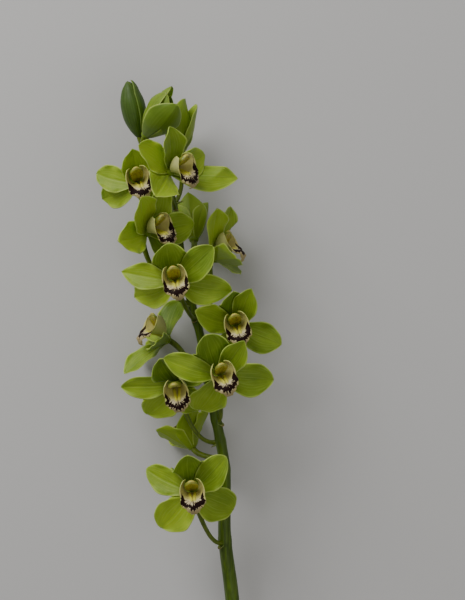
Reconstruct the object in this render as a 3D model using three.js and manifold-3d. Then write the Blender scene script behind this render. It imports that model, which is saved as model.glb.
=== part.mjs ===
// Cut stem of a green standard cymbidium orchid, lying on a table with its flowers up.
// Millimetres, +Z up. The stalk runs along Y, with the cut end at -Y and the buds at +Y; the origin is
// the middle of the outline, on the table.
import * as THREE from "three";
import { mergeVertices } from "three/addons/utils/BufferGeometryUtils.js";
import Module from "manifold-3d";

const wasm = await Module();
wasm.setup();

// Driving dimensions.
const BLADE_THICKNESS = 1.3;
const CLAW_SHARE = 0.26; // width of a tepal's base as a share of its full width
const TIP_SHARE = 0.1; // and of its blunt tip
const WIDEST_AT = 0.56; // share of the length where a tepal is widest
const TEPAL_START = 2.6; // distance of its base from the flower's axis
const TEPAL_SINK = 1.2; // and behind the knot's middle
const CORE_RADIUS = 4.6; // the knot where the five tepals meet, on top of the ovary
const CORE_DEPTH = 3;
const LIP_LENGTH = 38; // along its curved midline
const LIP_TUBE = 10.8; // radius of the trough that the side lobes make round the column
const LIP_THICKNESS = 1;
const COLUMN_LENGTH = 24;
const OUTLINE_MIDDLE = [8.2, -1.2]; // where the outline's middle falls, before it is centred
const SEAT_GAP = 0.3; // between pieces that touch
const MERGE_TOLERANCE = 0.1; // slivers left by fusing are merged away up to this
const PEDICEL_RADIUS = 2;
const OVARY_RADIUS = 2.8;
const TEPAL_ROWS = [0, 0.22, 0.5, 0.78, 1];
const TEPAL_COLUMNS = [-1, -0.38, 0.38, 1];

const RAD = Math.PI / 180;
const vec = (...p) => new THREE.Vector3(...p);
const mix = (a, b, t) => a + (b - a) * t;
const clamp01 = (t) => Math.min(1, Math.max(0, t));
const smooth = (a, b, x) => {
  const t = clamp01((x - a) / (b - a));
  return t * t * (3 - 2 * t);
};

// Colours of the living plant, as sRGB.
const finish = (color, roughness) =>
  new THREE.MeshStandardMaterial({ color, roughness, metalness: 0 });
const STALK_GREEN = finish(0x4a6b1d, 0.5);
const TEPAL_GREEN = finish(0x9fb53a, 0.5);
const BUD_GREEN = finish(0x5f7d2b, 0.5);
const LIP_CREAM = finish(0xe3dcb4, 0.55);
const COLUMN_YELLOW = finish(0xb9b75a, 0.45);

// A closed surface from rings of equal length: each ring is joined to the next, and the ends are fans.
function loftGeometry(rings) {
  const count = rings[0].length;
  const middle = (ring) =>
    ring.reduce((sum, p) => sum.add(p), vec(0, 0, 0)).divideScalar(ring.length);
  const points = [...rings.flat(), middle(rings[0]), middle(rings.at(-1))];
  const faces = [];
  for (let i = 0; i + 1 < rings.length; i++)
    for (let j = 0; j < count; j++) {
      const a = i * count + j;
      const b = i * count + ((j + 1) % count);
      faces.push(a, b, b + count, a, b + count, a + count);
    }
  const last = (rings.length - 1) * count;
  for (let j = 0; j < count; j++) {
    const k = (j + 1) % count;
    faces.push(points.length - 2, k, j);
    faces.push(points.length - 1, last + j, last + k);
  }
  return indexed(points, faces);
}

function indexed(points, faces) {
  const geometry = new THREE.BufferGeometry().setFromPoints(points);
  geometry.setIndex(faces);
  return geometry;
}

// A blade with a front and a back face from surface(u, v) -> { point, normal }, split alike on both.
function bladeGeometry(surface, rows, columns, thickness) {
  const front = [];
  const back = [];
  for (const u of rows)
    for (const v of columns) {
      const { point, normal } = surface(u, v);
      const half = thickness / 2;
      front.push(point.clone().addScaledVector(normal, half));
      back.push(point.clone().addScaledVector(normal, -half));
    }
  const n = columns.length;
  const size = front.length;
  const faces = [];
  const quad = (a, b, c, d) => faces.push(a, b, c, a, c, d);
  for (let i = 0; i + 1 < rows.length; i++)
    for (let j = 0; j + 1 < n; j++) {
      const a = i * n + j;
      faces.push(a, a + n, a + n + 1, a, a + n + 1, a + 1);
      faces.push(size + a, size + a + n + 1, size + a + n);
      faces.push(size + a, size + a + 1, size + a + n + 1);
    }
  for (let j = 0; j + 1 < n; j++) {
    quad(j, j + 1, size + j + 1, size + j);
    const e = (rows.length - 1) * n + j;
    quad(e + 1, e, size + e, size + e + 1);
  }
  for (let i = 0; i + 1 < rows.length; i++) {
    const a = i * n;
    quad(a + n, a, size + a, size + a + n);
    const b = a + n - 1;
    quad(b, b + n, size + b + n, size + b);
  }
  return indexed([...front, ...back], faces);
}

// Normals of a parametric surface by differences, pointing to the side that the flower shows.
function withNormal(pointAt) {
  const h = 1e-3;
  return (u, v) => {
    const du = pointAt(u + h, v).sub(pointAt(u - h, v));
    const dv = pointAt(u, v + h).sub(pointAt(u, v - h));
    return { point: pointAt(u, v), normal: du.cross(dv).normalize() };
  };
}

function solidOf(geometry) {
  const bare = geometry.clone();
  for (const name of Object.keys(bare.attributes))
    if (name !== "position") bare.deleteAttribute(name);
  const merged = mergeVertices(bare, 1e-4);
  const made = new wasm.Manifold(
    new wasm.Mesh({
      numProp: 3,
      vertProperties: merged.attributes.position.array,
      triVerts: new Uint32Array(merged.index.array),
    }),
  );
  if (made.volume() < 0) throw new Error("a solid is inside out");
  return made;
}

function geometryOf(solid) {
  const mesh = solid.getMesh();
  const geometry = new THREE.BufferGeometry();
  geometry.setAttribute(
    "position",
    new THREE.BufferAttribute(mesh.vertProperties, 3),
  );
  geometry.setIndex(new THREE.BufferAttribute(mesh.triVerts, 1));
  geometry.computeVertexNormals();
  return geometry;
}

// Solids fused into one body and cut off level where they lie on the table; loose scraps are dropped.
function fused(geometries, table) {
  const whole = geometries.map(solidOf).reduce((a, b) => a.add(b));
  const bodies = whole.subtract(table).simplify(MERGE_TOLERANCE).decompose();
  const largest = bodies.reduce((a, b) => (a.volume() > b.volume() ? a : b));
  return geometryOf(largest);
}

function pieceOf(name, geometry, material) {
  const mesh = new THREE.Mesh(geometry, material);
  mesh.name = name;
  return mesh;
}

// Half width of a tepal at u, as a share of its greatest: a claw, a broad middle and a tip that is
// blunt where sharp is 0 and pointed where it is 1.
function tepalOutline(u, sharp) {
  if (u < WIDEST_AT)
    return mix(CLAW_SHARE, 1, Math.sin(((u / WIDEST_AT) * Math.PI) / 2));
  const t = clamp01((u - WIDEST_AT) / (1 - WIDEST_AT));
  const rounding = Math.pow(t, mix(2.3, 1.5, sharp));
  return TIP_SHARE + (1 - TIP_SHARE) * Math.pow(1 - rounding, mix(0.62, 0.95, sharp));
}

// One tepal in its flower's frame, where +Z faces out and +Y is the dorsal side. The midrib is an arc
// that starts at pitch above the face and bends by curl; the blade is cupped forward by cup, and
// turns about its midrib by twist towards the tip. It bows away from the dorsal side and back by
// sweep times its length, so that the tip lies at angle.
function tepalSurface({ angle, pitch, curl, cup, twist, sharp, sweep, length, width }) {
  const hand = Math.sign(Math.cos(angle * RAD));
  const base = angle * RAD - hand * Math.atan(sweep);
  const out = vec(Math.cos(base), Math.sin(base), 0);
  const side = vec(-Math.sin(base), Math.cos(base), 0);
  const front = vec(0, 0, 1);
  const steps = 24;
  return withNormal((u, v) => {
    const rib = out.clone().multiplyScalar(TEPAL_START).addScaledVector(front, -TEPAL_SINK);
    for (let i = 0; i < steps; i++) {
      const theta = (pitch + (curl * u * (i + 0.5)) / steps) * RAD;
      rib.addScaledVector(out, (Math.cos(theta) * length * u) / steps);
      rib.addScaledVector(front, (Math.sin(theta) * length * u) / steps);
    }
    const theta = (pitch + curl * u) * RAD;
    const normal = out
      .clone()
      .multiplyScalar(-Math.sin(theta))
      .addScaledVector(front, Math.cos(theta));
    const turn = twist * u * RAD;
    const across = side
      .clone()
      .multiplyScalar(Math.cos(turn))
      .addScaledVector(normal, Math.sin(turn));
    const lift = normal
      .clone()
      .multiplyScalar(Math.cos(turn))
      .addScaledVector(side, -Math.sin(turn));
    const half = (width / 2) * tepalOutline(u, sharp);
    return rib
      .addScaledVector(across, sweep * hand * length * u * u - half * v)
      .addScaledVector(lift, cup * half * v * v);
  });
}

// The five tepals, in order: dorsal sepal, left and right petal, left and right sepal.
const TEPAL_KINDS = [
  { curl: -12, cup: 0.36, twist: 0, sharp: 0.45, sweep: 0 },
  { curl: -8, cup: 0.26, twist: 8, sharp: 0.6, sweep: 0.1 },
  { curl: -8, cup: 0.26, twist: -8, sharp: 0.6, sweep: 0.1 },
  { curl: -12, cup: 0.3, twist: 6, sharp: 0.55, sweep: 0.08 },
  { curl: -12, cup: 0.3, twist: -6, sharp: 0.55, sweep: 0.08 },
];
const HALF_OPEN_KIND = { cup: 0.45, twist: 0, sharp: 0.65, sweep: 0 };

function coreGeometry() {
  const profile = [
    [0, -CORE_DEPTH],
    [CORE_RADIUS * 0.76, -CORE_DEPTH],
    [CORE_RADIUS, -0.4],
    [CORE_RADIUS * 0.7, CORE_DEPTH * 0.7],
    [0, CORE_DEPTH * 0.7],
  ].map(([r, z]) => new THREE.Vector2(r, z));
  return new THREE.LatheGeometry(profile, 8).rotateX(Math.PI / 2);
}

// rows: [angle, pitch, length, width] of each tepal, and what isn't as in its kind.
// bend is the curl of a half-open flower's tepals.
function tepalsGeometry(rows, bend) {
  const blades = rows.map(([angle, pitch, length, width, own], i) => {
    const kind = bend === undefined ? TEPAL_KINDS[i] : { ...HALF_OPEN_KIND, curl: bend };
    const surface = tepalSurface({ ...kind, ...own, angle, pitch, length, width });
    return bladeGeometry(surface, TEPAL_ROWS, TEPAL_COLUMNS, BLADE_THICKNESS);
  });
  return [...blades, coreGeometry()];
}

// The lip's midline in the flower's plane of symmetry: heading of its tangent at s, in degrees from
// straight out of the flower. It runs out and a little down, then turns down and back at the fold.
const lipHeading = (s) =>
  -mix(mix(4, 16, smooth(0, 0.4, s)), 172, smooth(0.48, 1, s));
// Distance from the midline to the margin, along the surface: side lobes, a notch, and the mid-lobe.
const lipReach = (s) =>
  3 +
  22 * smooth(0.02, 0.38, s) -
  13 * smooth(0.4, 0.52, s) -
  9.5 * smooth(0.56, 1, s);
// Curvature across: the side lobes roll up round the column and flare a little to the front, and the
// mid-lobe is domed.
const lipRoll = (s) => {
  const tube = LIP_TUBE * mix(0.86, 1.0, smooth(0.15, 0.42, s));
  return mix(1 / tube, -1 / 18, smooth(0.44, 0.66, s));
};

const lipSurface = withNormal((s, v) => {
  const steps = 24;
  let y = -0.2;
  let z = CORE_DEPTH * 0.7 + SEAT_GAP;
  for (let i = 0; i < steps; i++) {
    const heading = lipHeading((s * (i + 0.5)) / steps) * RAD;
    y += (Math.sin(heading) * LIP_LENGTH * s) / steps;
    z += (Math.cos(heading) * LIP_LENGTH * s) / steps;
  }
  const heading = lipHeading(s) * RAD;
  const k = lipRoll(s);
  const a = lipReach(s) * v;
  const x = Math.sin(k * a) / k;
  const rise = (1 - Math.cos(k * a)) / k;
  return vec(
    x,
    y + Math.cos(heading) * rise,
    z - Math.sin(heading) * rise,
  );
});

const LIP_ROWS = [0, 0.2, 0.38, 0.46, 0.56, 0.7, 0.86, 1];
const LIP_COLUMNS = [-1, -0.66, -0.33, 0, 0.33, 0.66, 1];

function lipGeometry() {
  const flipped = (s, v) => {
    const { point, normal } = lipSurface(s, v);
    return { point, normal: normal.negate() };
  };
  return bladeGeometry(
    flipped,
    LIP_ROWS,
    [...LIP_COLUMNS].reverse(),
    LIP_THICKNESS,
  );
}

// The column rises forward over the lip, broad and flat beneath, and ends in the rounded anther cap.
function columnGeometry() {
  const rings = [
    [0, 1.7, 0],
    [0.12, 3.4, 14],
    [0.3, 5.2, 24],
    [0.6, 6.3, 27],
    [0.8, 6.3, 28],
    [0.92, 5.2, 20],
    [1, 2.6, 8],
  ].map(([s, radius, tilt]) => {
    const heading = tilt * RAD;
    const y = 1.7 + COLUMN_LENGTH * (0.38 * s + 0.09 * s * s);
    const z = CORE_DEPTH * 0.7 + SEAT_GAP + COLUMN_LENGTH * 0.96 * s;
    const ring = [];
    const sides = 8;
    for (let i = 0; i < sides; i++) {
      const phi = (i / sides) * Math.PI * 2;
      const up = Math.sin(phi) * radius * (Math.sin(phi) < 0 ? 0.42 : 0.68);
      ring.push(
        vec(
          Math.cos(phi) * radius,
          y + up * Math.cos(heading),
          z - up * Math.sin(heading),
        ),
      );
    }
    return ring;
  });
  return loftGeometry(rings);
}

// The stalk: [x, y, z, radius] from the cut end, which lies on the table, to the last bud.
const STALK = [
  [62, -323, 6.6, 7.2],
  [55, -240, 18, 6.9],
  [47.5, -158, 30, 6.6],
  [41, -103, 40, 6.1],
  [41.5, -66, 45, 5.4],
  [41, -38, 48, 5.1],
  [36, -8, 50, 4.8],
  [29, 24, 52, 4.5],
  [23, 58, 53, 4.2],
  [17.5, 88, 54, 4],
  [9, 118, 55, 3.8],
  [3, 150, 55, 3.5],
  [-3, 182, 54, 3.2],
  [-7, 210, 53, 2.9],
  [-16, 238, 53, 2.6],
  [-28, 262, 54, 2.3],
];
const stalkCurve = new THREE.CatmullRomCurve3(
  STALK.map(([x, y, z]) => vec(x, y, z)),
  false,
  "centripetal",
);

// Where the stalk is at a given y, found along its curve.
function stalkAt(y) {
  let low = 0;
  let high = 1;
  for (let i = 0; i < 40; i++) {
    const t = (low + high) / 2;
    if (stalkCurve.getPoint(t).y < y) low = t;
    else high = t;
  }
  return stalkCurve.getPoint((low + high) / 2);
}

function stalkRadius(y) {
  const i = Math.max(
    1,
    STALK.findIndex((p) => p[1] >= y),
  );
  const [a, b] = [STALK[i - 1], STALK[i]];
  return mix(a[3], b[3], clamp01((y - a[1]) / (b[1] - a[1])));
}

// A round, tapering limb along a curve: radiusAt(t) for t in stops.
function limbGeometry(curve, stops, radiusAt, sides) {
  const start = curve.getTangent(stops[0]);
  let normal = vec(0, 0, 1).cross(start).normalize();
  const rings = stops.map((t) => {
    const tangent = curve.getTangent(t);
    normal.addScaledVector(tangent, -normal.dot(tangent)).normalize();
    const binormal = tangent.clone().cross(normal);
    const middle = curve.getPoint(t);
    return Array.from({ length: sides }, (_, i) => {
      const phi = (i / sides) * Math.PI * 2;
      return middle
        .clone()
        .addScaledVector(normal, Math.cos(phi) * radiusAt(t))
        .addScaledVector(binormal, Math.sin(phi) * radiusAt(t));
    });
  });
  return loftGeometry(rings);
}

function stalkGeometry() {
  const stops = Array.from({ length: 25 }, (_, i) => i / 24);
  return limbGeometry(
    stalkCurve,
    stops,
    (t) => stalkRadius(stalkCurve.getPoint(t).y),
    10,
  );
}

// The pedicel and ovary of one flower: from the stalk at node, by way of via,
// and into its back. The curve passes via halfway along.
function pedicelGeometry({ at, facing }, { node, via }) {
  const root = stalkAt(node);
  const end = at.clone().addScaledVector(facing, -CORE_DEPTH - SEAT_GAP);
  const neck = end.clone().addScaledVector(facing, -15);
  const bow = vec(...via).multiplyScalar(8).sub(root).sub(end).addScaledVector(neck, -3);
  const curve = new THREE.CubicBezierCurve3(root, bow.divideScalar(3), neck, end);
  const stops = [0, 0.18, 0.36, 0.54, 0.7, 0.86, 1];
  const radiusAt = (t) => mix(PEDICEL_RADIUS, OVARY_RADIUS, smooth(0.35, 0.9, t));
  return limbGeometry(curve, stops, radiusAt, 6);
}

// Where a flower is and how it is turned: face is [degrees to the right, degrees up].
function poseOf({ at, face }) {
  const [az, el] = face.map((d) => d * RAD);
  const facing = vec(
    Math.sin(az) * Math.cos(el),
    Math.sin(el),
    Math.cos(az) * Math.cos(el),
  );
  const right = vec(0, 1, 0).cross(facing).normalize();
  const up = facing.clone().cross(right);
  return { at: vec(...at), facing, right, up };
}

function placedGroup(pose) {
  const group = new THREE.Group();
  const turn = new THREE.Matrix4().makeBasis(pose.right, pose.up, pose.facing);
  group.quaternion.setFromRotationMatrix(turn);
  group.position.copy(pose.at);
  return group;
}

// The table's surface, as a block below it in a flower's own frame: what lies on it is pressed flat.
function tableIn(group) {
  group.updateMatrix();
  const block = new THREE.BoxGeometry(2000, 2000, 100).translate(0, 0, -50);
  return solidOf(block.applyMatrix4(group.matrix.clone().invert()));
}

// The open flowers, from the top down. turn is that of the lip and column about the flower's face;
// node is the height on the stalk where the pedicel leaves it.
const BLOOMS = [
  {
    name: "bloom_01",
    at: [-39, 225, 82],
    face: [8, -3],
    turn: 17,
    node: 172,
    via: [-24, 200, 66],
    tepals: [
      [102, 41, 36, 28, { sharp: 0.75 }],
      [167, -30, 42, 25, { sharp: 0.35, sweep: 0.12 }],
      [52, 4, 40, 22],
      [207, -34, 41, 27, { sharp: 0.8, sweep: 0.05 }],
      [-44, -8, 40, 26],
    ],
  },
  {
    name: "bloom_02",
    at: [-8, 235, 102],
    face: [47, -2],
    turn: 20,
    node: 198,
    via: [-11, 220, 76],
    tepals: [
      [109, 22, 41, 31, { sharp: 0.6 }],
      [151, 4, 43, 27, { sharp: 0.1 }],
      [21, 4, 46, 27, { sharp: 0.5 }],
      [216, 28, 42, 34, { twist: 50, sharp: 0.9, sweep: 0 }],
      [-5, 38, 63, 30, { sharp: 0.85, sweep: 0.12 }],
    ],
  },
  {
    name: "bloom_03",
    at: [-29, 180, 92],
    face: [46, 2],
    turn: 22,
    node: 112,
    via: [-28, 152, 74],
    tepals: [
      [92, 36, 43, 33, { sharp: 0.3 }],
      [138, 34, 47, 34, { twist: -20 }],
      [10, 20, 48, 30],
      [192, 17, 44, 31, { sharp: 0.7 }],
      [-30, -10, 42, 30],
    ],
  },
  {
    name: "bloom_04",
    at: [-4, 135, 100],
    face: [3, -4],
    turn: 12,
    node: 100,
    via: [2, 118, 80],
    tepals: [
      [102, 41, 42, 35, { sharp: 0.15 }],
      [171, -12, 49, 25, { sharp: 0.9, sweep: 0.03 }],
      [43, 28, 48, 28, { sharp: 0.35, sweep: 0.14 }],
      [206, -30, 47, 30, { sharp: 0.85, sweep: 0.16 }],
      [-9, 8, 49, 30, { sweep: 0.24 }],
    ],
  },
  {
    name: "bloom_05",
    at: [-13, 81, 46.4],
    face: [-60, 26],
    turn: 0,
    node: 44,
    via: [4, 66, 46],
    tepals: [
      [110, 2, 44, 31, { twist: 35 }],
      [160, 6, 50, 24],
      [-30, 42, 46, 24],
      [202, 0, 50, 28],
      [-102, 32, 50, 28, { twist: -24 }],
    ],
  },
  {
    name: "bloom_06",
    at: [36, 49, 104],
    face: [14, -6],
    turn: 17,
    node: 6,
    via: [37, 26, 74],
    tepals: [
      [112, 28, 44, 34, { sharp: 0.0 }],
      [162, 6, 52, 25, { sharp: 0.45, sweep: 0.1 }],
      [64, 40, 44, 25],
      [253, -34, 46, 34, { sharp: 0.2 }],
      [-5, 6, 50, 32],
    ],
  },
  {
    name: "bloom_07",
    at: [-3, 40, 76],
    face: [2, -28],
    turn: 12,
    node: -14,
    via: [5, 12, 55.5],
    tepals: [
      [112, 32, 43, 33, { sharp: 0.6 }],
      [189, -6, 51, 24, { sharp: 0.6, sweep: 0 }],
      [28, -18, 38, 23],
      [234, -4, 45, 32, { sharp: 0.3 }],
      [-52, -4, 38, 28],
    ],
  },
  {
    name: "bloom_08",
    at: [11, -58, 86],
    face: [3, -7],
    turn: 6,
    node: -108,
    via: [20, -87, 63],
    tepals: [
      [96, 37, 42, 35, { sharp: 0.3 }],
      [157, -18, 46, 26, { sharp: 0.35, sweep: 0.13 }],
      [49, 22, 46, 28, { sharp: 0.3, sweep: 0.15 }],
      [233, -8, 45, 35, { sharp: 0.15 }],
      [-27, -12, 44, 35, { sharp: 0.15, sweep: 0.06 }],
    ],
  },
  {
    name: "bloom_09",
    at: [32, 157, 44.8],
    face: [66, 30],
    turn: 0,
    node: 98,
    via: [29, 132, 52],
    tepals: [
      [64, 45, 52, 31],
      [120, 41, 50, 30, { twist: -60 }],
      [22, 6, 46, 24],
      [210, 49, 49, 31],
      [-12, 6, 44, 29],
    ],
  },
  {
    name: "bloom_10",
    at: [51, 94, 80],
    face: [6, -8],
    turn: 16,
    node: 60,
    via: [44, 78, 58],
    tepals: [
      [98, 42, 41, 31],
      [157, 33, 46, 26],
      [73, 38, 44, 24],
      [250, -20, 34, 28],
      [-22, 8, 44, 30],
    ],
  },
  {
    name: "bloom_11",
    at: [10, -20, 33],
    face: [-118, 55],
    turn: 0,
    node: -40,
    via: [30, -30, 40],
    tepals: [
      [112, 44, 40, 27],
      [165, 48, 40, 22],
      [62, 50, 40, 27],
      [215, 38, 44, 28],
      [-22, 54, 38, 28],
    ],
  },
];

// Flowers that have begun to open: five tepals that still stand together round the lip.
const HALF_OPEN = [
  {
    name: "half_open_bloom_1",
    at: [-32, 271, 64],
    face: [54, 46],
    node: 240,
    via: [-24, 252, 57],
    bend: 56,
    tepals: [
      [114, 58, 57, 34, { sharp: 0.2 }],
      [167, 54, 52, 34, { sharp: 0.2 }],
      [45, 54, 46, 28],
      [234, 45, 55, 34, { sharp: 0.5 }],
      [-60, 42, 40, 28],
    ],
  },
  {
    name: "half_open_bloom_2",
    at: [0, 256, 50],
    face: [-166, 66],
    node: 208,
    via: [1, 228, 54],
    bend: 30,
    tepals: [
      [84, 58, 34, 26],
      [118, 62, 53, 30, { twist: 30, sharp: 0.1 }],
      [20, 72, 38, 22],
      [160, 57, 52, 28, { twist: 45, sharp: 0.3 }],
      [-105, 58, 44, 26],
    ],
  },
  {
    name: "half_open_bloom_3",
    at: [12, 175, 33.9],
    face: [-172, 60],
    node: 142,
    via: [9, 160, 49],
    bend: 24,
    tepals: [
      [75, 60, 46, 30],
      [20, 56, 40, 24],
      [215, 62, 44, 22],
      [275, 54, 46, 27],
      [150, 58, 40, 27],
    ],
  },
];

// The last bud, still closed.
const CLOSED_BUD = {
  name: "closed_bud",
  at: [-39, 273, 56],
  face: [-56, 76],
  node: 246,
  via: [-30, 256, 55],
};
const BUD_LENGTH = 53;
const BUD_RADIUS = 11.2;

// A closed bud: a slender egg with a pointed tip, and the seams between its three sepals sunk in.
function budGeometry() {
  const rings = [
    [0, 0.26],
    [0.14, 0.62],
    [0.36, 0.96],
    [0.6, 0.98],
    [0.82, 0.66],
    [0.95, 0.28],
    [1, 0.06],
  ].map(([t, share]) =>
    Array.from({ length: 12 }, (_, i) => {
      const phi = (i / 12) * Math.PI * 2;
      const seam = 1 - 0.1 * Math.pow(Math.cos(1.5 * phi), 8);
      const radius = BUD_RADIUS * share * seam;
      const z = -CORE_DEPTH + t * BUD_LENGTH;
      return vec(Math.cos(phi) * radius, Math.sin(phi) * radius, z);
    }),
  );
  return loftGeometry(rings);
}

const stem = [stalkGeometry()];
const part = new THREE.Group();

function tepalsPiece({ name, tepals, bend }, group, material) {
  const whole = fused(tepalsGeometry(tepals, bend), tableIn(group));
  return pieceOf(`${name}_tepals`, whole, material);
}

for (const bloom of BLOOMS) {
  const pose = poseOf(bloom);
  const group = placedGroup(pose);
  group.add(tepalsPiece(bloom, group, TEPAL_GREEN));
  const inner = new THREE.Group();
  inner.rotation.z = bloom.turn * RAD;
  inner.add(pieceOf(`${bloom.name}_lip`, lipGeometry(), LIP_CREAM));
  inner.add(pieceOf(`${bloom.name}_column`, columnGeometry(), COLUMN_YELLOW));
  group.add(inner);
  part.add(group);
  stem.push(pedicelGeometry(pose, bloom));
}

for (const bloom of HALF_OPEN) {
  const pose = poseOf(bloom);
  const group = placedGroup(pose);
  group.add(tepalsPiece(bloom, group, BUD_GREEN));
  part.add(group);
  stem.push(pedicelGeometry(pose, bloom));
}

const budPose = poseOf(CLOSED_BUD);
const budGroup = placedGroup(budPose);
budGroup.add(pieceOf(CLOSED_BUD.name, budGeometry(), BUD_GREEN));
part.add(budGroup);
stem.push(pedicelGeometry(budPose, CLOSED_BUD));

part.add(pieceOf("stem", fused(stem, tableIn(new THREE.Group())), STALK_GREEN));

const placed = new THREE.Group();
placed.position.set(-OUTLINE_MIDDLE[0], -OUTLINE_MIDDLE[1], 0);
placed.add(part);

export default placed;
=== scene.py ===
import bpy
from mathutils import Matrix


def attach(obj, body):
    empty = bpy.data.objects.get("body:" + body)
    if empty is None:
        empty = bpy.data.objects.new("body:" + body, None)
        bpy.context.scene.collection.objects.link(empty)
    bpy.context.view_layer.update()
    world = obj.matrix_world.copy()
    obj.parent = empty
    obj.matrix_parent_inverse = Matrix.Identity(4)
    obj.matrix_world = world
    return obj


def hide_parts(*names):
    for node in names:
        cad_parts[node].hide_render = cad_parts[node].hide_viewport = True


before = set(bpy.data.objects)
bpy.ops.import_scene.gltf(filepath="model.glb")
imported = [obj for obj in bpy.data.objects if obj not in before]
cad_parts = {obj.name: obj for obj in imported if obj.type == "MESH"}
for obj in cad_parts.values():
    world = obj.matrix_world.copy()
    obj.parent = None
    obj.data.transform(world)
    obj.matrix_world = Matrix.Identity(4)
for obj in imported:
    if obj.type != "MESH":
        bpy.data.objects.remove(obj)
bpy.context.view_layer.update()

import bpy
import numpy as np
from mathutils import Vector


# --- The stalk ---------------------------------------------------------------------------------
# A cymbidium's flower stalk, or scape: a juicy, smooth green cane, round with faint ribs, that was
# cut at its foot and lies on the table. It thins towards the buds and swells a little at each node.
MM = 0.001  # lengths are in mm, and the frame is in metres
OUTLINE_MIDDLE = (8.2, -1.2)  # where the outline's middle falls in the places below
STALK = np.array([  # x, y, z and radius, from the cut foot to the last bud
    (62, -323, 6.6, 7.2), (55, -240, 18, 6.9), (47.5, -158, 30, 6.6), (41, -103, 40, 6.1),
    (41.5, -66, 45, 5.4), (41, -38, 48, 5.1), (36, -8, 50, 4.8), (29, 24, 52, 4.5),
    (23, 58, 53, 4.2), (17.5, 88, 54, 4), (9, 118, 55, 3.8), (3, 150, 55, 3.5),
    (-3, 182, 54, 3.2), (-7, 210, 53, 2.9), (-16, 238, 53, 2.6), (-28, 262, 54, 2.3),
])
NODES = (-108, -40, -14, 6, 44, 60, 98, 100, 112, 142, 172, 198, 208, 240, 246)  # the y of each
NODE_SWELLING = 0.5
NODE_REACH = 4.0
UP = np.array((0.0, 0.0, 1.0))


def mix(a, b, t):
    """The value t of the way from a to b."""
    return a + (b - a) * t


def stacked(*values):
    """The values side by side in a last axis, each spread over their common grid."""
    return np.stack(np.broadcast_arrays(*values), -1)


def unit(vectors):
    """Each vector divided by its own length."""
    return vectors / np.maximum(np.linalg.norm(vectors, axis=-1, keepdims=True), 1e-12)


def curve_through(points, t):
    """A centripetal Catmull-Rom curve: cubic pieces through the points, whose tangents come from
    knots spaced by the square root of each chord. t runs from 0 to 1 with equal shares a piece."""
    padded = np.vstack([2 * points[0] - points[1], points, 2 * points[-1] - points[-2]])
    place = np.clip(t, 0, 1) * (len(points) - 1)
    piece = np.minimum(place.astype(int), len(points) - 2)
    w = (place - piece)[:, None]
    p0, p1, p2, p3 = (padded[piece + k] for k in range(4))
    d0, d1, d2 = (np.sqrt(np.linalg.norm(b - a, axis=1))[:, None]
                  for a, b in ((p0, p1), (p1, p2), (p2, p3)))
    m1 = d1 * ((p1 - p0) / d0 - (p2 - p0) / (d0 + d1) + (p2 - p1) / d1)
    m2 = d1 * ((p2 - p1) / d1 - (p3 - p1) / (d1 + d2) + (p3 - p2) / d2)
    return (p1 + m1 * w + (-3 * p1 + 3 * p2 - 2 * m1 - m2) * w**2
            + (2 * p1 - 2 * p2 + m1 + m2) * w**3)


def tube(rings, uv, **fields):
    """A stack of rings as a shell, which is points, faces, UV and numbers per point. Quads join
    neighbouring rings, and one many-sided face closes each end."""
    rows, sides = rings.shape[:2]
    a = np.arange(rows * sides).reshape(rows, sides)
    b = np.roll(a, -1, axis=1)
    faces = np.stack([a[:-1], b[:-1], b[1:], a[1:]], -1).reshape(-1, 4).tolist()
    faces += [a[0, ::-1].tolist(), a[-1].tolist()]
    fields = {key: np.broadcast_to(value, (rows, sides)).ravel() for key, value in fields.items()}
    return rings.reshape(-1, 3), faces, uv.reshape(-1, 2), fields


def limb(path, radius, sides, ribs=0, rib_share=0.0, twist=0.0):
    """A closed round limb: at each point of the path a ring, square to it, of radius times
    1 + rib_share cos(ribs phi + turn), where turn grows evenly to twist along the path. At both ends
    a ring shrinks to almost nothing."""
    tangent = unit(np.gradient(path, axis=0))
    across = unit(np.cross(UP, tangent))
    other = np.cross(tangent, across)
    phi = np.linspace(0, 2 * np.pi, sides, endpoint=False)
    turn = np.linspace(0, twist, len(path))[:, None]
    reach = np.broadcast_to(radius, len(path))[:, None] * (
        1 + rib_share * np.cos(ribs * phi[None] + turn))
    rings = (path[:, None] + across[:, None] * (np.cos(phi) * reach)[..., None]
             + other[:, None] * (np.sin(phi) * reach)[..., None])
    ends = [mix(path[i], rings[i], 0.02)[None] for i in (0, -1)]
    rings = np.concatenate([ends[0], rings, ends[1]])
    along = np.concatenate([[0], np.linspace(0, 1, len(path)), [1]])
    uv = stacked(phi[None] / (2 * np.pi), along[:, None])
    return tube(rings, uv)


def new_object(name, data):
    """An object that holds this mesh, light or camera, in the scene."""
    made = bpy.data.objects.new(name, data)
    bpy.context.scene.collection.objects.link(made)
    return made


def make_piece(name, shell, material, nodes):
    """One smooth-shaded mesh on the root body, with the shell's UV map and fields. Its places, in mm
    as the tables give them, are moved into the frame, in metres, and nothing sinks into the table."""
    points, faces, uv, fields = shell
    placed = points - np.array((*OUTLINE_MIDDLE, 0.0))
    placed[:, 2] = np.maximum(placed[:, 2], 0.0)
    mesh = bpy.data.meshes.new(name)
    mesh.from_pydata((placed * MM).tolist(), [], faces)
    corners = np.empty(len(mesh.loops), np.int32)
    mesh.loops.foreach_get("vertex_index", corners)
    uv_map = mesh.uv_layers.new(name="UVMap")
    uv_map.data.foreach_set("uv", uv[corners].astype(np.float32).ravel())
    for field, values in fields.items():
        attribute = mesh.attributes.new(field, "FLOAT", "POINT")
        attribute.data.foreach_set("value", values.astype(np.float32))
    mesh.polygons.foreach_set("use_smooth", np.ones(len(mesh.polygons), bool))
    mesh.materials.append(material)
    piece = new_object(name, mesh)
    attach(piece, "root")
    if nodes:
        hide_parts(*nodes)


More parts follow.
